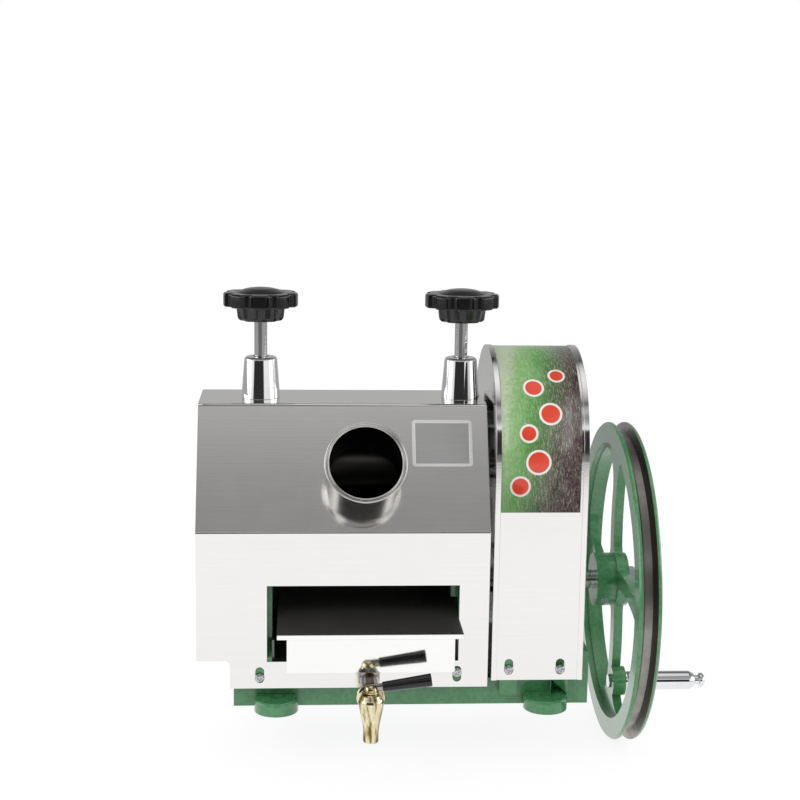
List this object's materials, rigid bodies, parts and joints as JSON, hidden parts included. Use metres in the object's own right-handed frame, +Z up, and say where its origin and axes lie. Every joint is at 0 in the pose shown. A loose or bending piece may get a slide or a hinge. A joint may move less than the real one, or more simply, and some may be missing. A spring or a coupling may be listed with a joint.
{
  "type": "manual sugarcane juicer",
  "caption": "Hand-cranked roller press for cane: geared rollers under a bent steel casing, grooved crank wheel, screw-set top roller, sliding juice drawer with a tap.",
  "frame": {"origin": "centre of the rectangle of four base bolt holes, on the underside of the lugs", "axes": "+X along the rollers towards the crank wheel and handle; -Y towards the feed side, where the cane goes in and the tap stands; +Z up"},
  "size_m": [0.485, 0.3502, 0.4343],
  "materials": {
    "green_enamel": "green hammered enamel, glossy",
    "casing_steel": "polished stainless sheet",
    "food_steel": "brushed stainless",
    "machined_steel": "turned, lightly oiled",
    "zinc_fasteners": "bright zinc plated",
    "gear_iron": "cut teeth, oiled",
    "bright_chrome": "mirror chrome",
    "bronze": "machined bronze",
    "tap_brass": "polished brass",
    "black_bakelite": "moulded, glossy",
    "black_vinyl": "dipped sleeve",
    "red_fibre": "pressed sealing washer",
    "bare_plate": "brushed, bare"
  },
  "bodies": {
    "frame": {"base_casting": "green_enamel", "left_cheek": "green_enamel", "right_cheek": "green_enamel", "outer_bracket": "green_enamel", "cheek_caps": "machined_steel", "cap_bolts": "zinc_fasteners", "frame_bolts": "zinc_fasteners", "tie_rods": "machined_steel", "tie_rod_nuts": "zinc_fasteners", "lower_roller_bushes": "bronze", "drive_shaft_bushes": "bronze", "turner_plate": "food_steel", "front_cover": "casing_steel", "rear_cover": "casing_steel", "left_end_cover": "casing_steel", "bagasse_chute": "casing_steel", "feed_tube": "casing_steel", "screw_cones": "bright_chrome", "label_plate": "bare_plate", "gear_cover_band": "casing_steel", "gear_cover_left_plate": "casing_steel", "gear_cover_right_plate": "casing_steel", "cover_screws": "zinc_fasteners", "drawer_runners": "food_steel"},
    "carriage": {"bearing_blocks": "machined_steel", "top_roller_bushes": "bronze"},
    "top_roll": {"top_roller": "food_steel", "top_roller_shaft": "machined_steel", "top_roller_gear": "gear_iron", "main_gear": "gear_iron", "top_shaft_keys": "machined_steel", "main_gear_nut": "zinc_fasteners"},
    "front_roll": {"front_roller": "food_steel", "front_roller_shaft": "machined_steel", "front_roller_gear": "gear_iron", "front_gear_key": "machined_steel"},
    "rear_roll": {"rear_roller": "food_steel", "rear_roller_shaft": "machined_steel", "rear_roller_gear": "gear_iron", "rear_gear_key": "machined_steel"},
    "drive": {"drive_shaft": "machined_steel", "drive_pinion": "gear_iron", "drive_keys": "machined_steel", "crank_wheel": "green_enamel", "wheel_set_screw": "zinc_fasteners", "wheel_washer": "zinc_fasteners", "wheel_nut": "zinc_fasteners", "handle_spindle": "bright_chrome"},
    "grip": {"handle_grip": "bright_chrome"},
    "left_screw": {"left_pressure_screw": "bright_chrome", "left_knob": "black_bakelite"},
    "right_screw": {"right_pressure_screw": "bright_chrome", "right_knob": "black_bakelite"},
    "drawer": {"juice_drawer": "food_steel", "outlet_pipe": "tap_brass", "outlet_washer": "red_fibre", "tap_body": "tap_brass"},
    "tray": {"strainer_tray": "casing_steel"},
    "tap": {"tap_plug": "tap_brass", "lever_sleeve": "black_vinyl"}
  },
  "joints": [
    {"name": "crank_turn", "type": "hinge", "parent": "frame", "child": "drive", "pos_m": [0, 0, 0.09475], "axis": [1, 0, 0], "continuous": true},
    {"name": "grip_spin", "type": "hinge", "parent": "drive", "child": "grip", "pos_m": [0.24, -0.02, -0.00125], "axis": [1, 0, 0], "continuous": true},
    {"name": "carriage_lift", "type": "slide", "parent": "frame", "child": "carriage", "axis": [0, 0, 1], "range_m": [0, 0.004]},
    {"name": "top_roller_turn", "type": "hinge", "parent": "carriage", "child": "top_roll", "pos_m": [0, 0, 0.20875], "axis": [1, 0, 0], "continuous": true},
    {"name": "front_roller_turn", "type": "hinge", "parent": "frame", "child": "front_roll", "pos_m": [0, -0.043, 0.151], "axis": [1, 0, 0], "continuous": true},
    {"name": "rear_roller_turn", "type": "hinge", "parent": "frame", "child": "rear_roll", "pos_m": [0, 0.043, 0.151], "axis": [1, 0, 0], "continuous": true},
    {"name": "left_screw_turn", "type": "hinge", "parent": "carriage", "child": "left_screw", "pos_m": [-0.139, 0, 0.3], "axis": [0, 0, 1], "range_deg": [0, 822.86]},
    {"name": "right_screw_turn", "type": "hinge", "parent": "carriage", "child": "right_screw", "pos_m": [0.048, 0, 0.3], "axis": [0, 0, 1], "range_deg": [0, 822.86]},
    {"name": "drawer_slide", "type": "slide", "parent": "frame", "child": "drawer", "axis": [0, -1, 0], "range_m": [0, 0.15]},
    {"name": "tray_slide", "type": "slide", "parent": "drawer", "child": "tray", "axis": [0, -1, 0], "range_m": [0, 0.12]},
    {"name": "tap_turn", "type": "hinge", "parent": "drawer", "child": "tap", "pos_m": [-0.04, -0.157, 0.04], "axis": [0, 0, 1], "range_deg": [-90, 0]}
  ],
  "couplings": [
    {"joint": "top_roller_turn", "follows": "crank_turn", "ratio": -0.35714},
    {"joint": "front_roller_turn", "follows": "crank_turn", "ratio": 0.35714},
    {"joint": "rear_roller_turn", "follows": "crank_turn", "ratio": 0.35714},
    {"joint": "left_screw_turn", "follows": "carriage_lift", "rad_per_m": 3590.4},
    {"joint": "right_screw_turn", "follows": "carriage_lift", "rad_per_m": 3590.4}
  ]
}
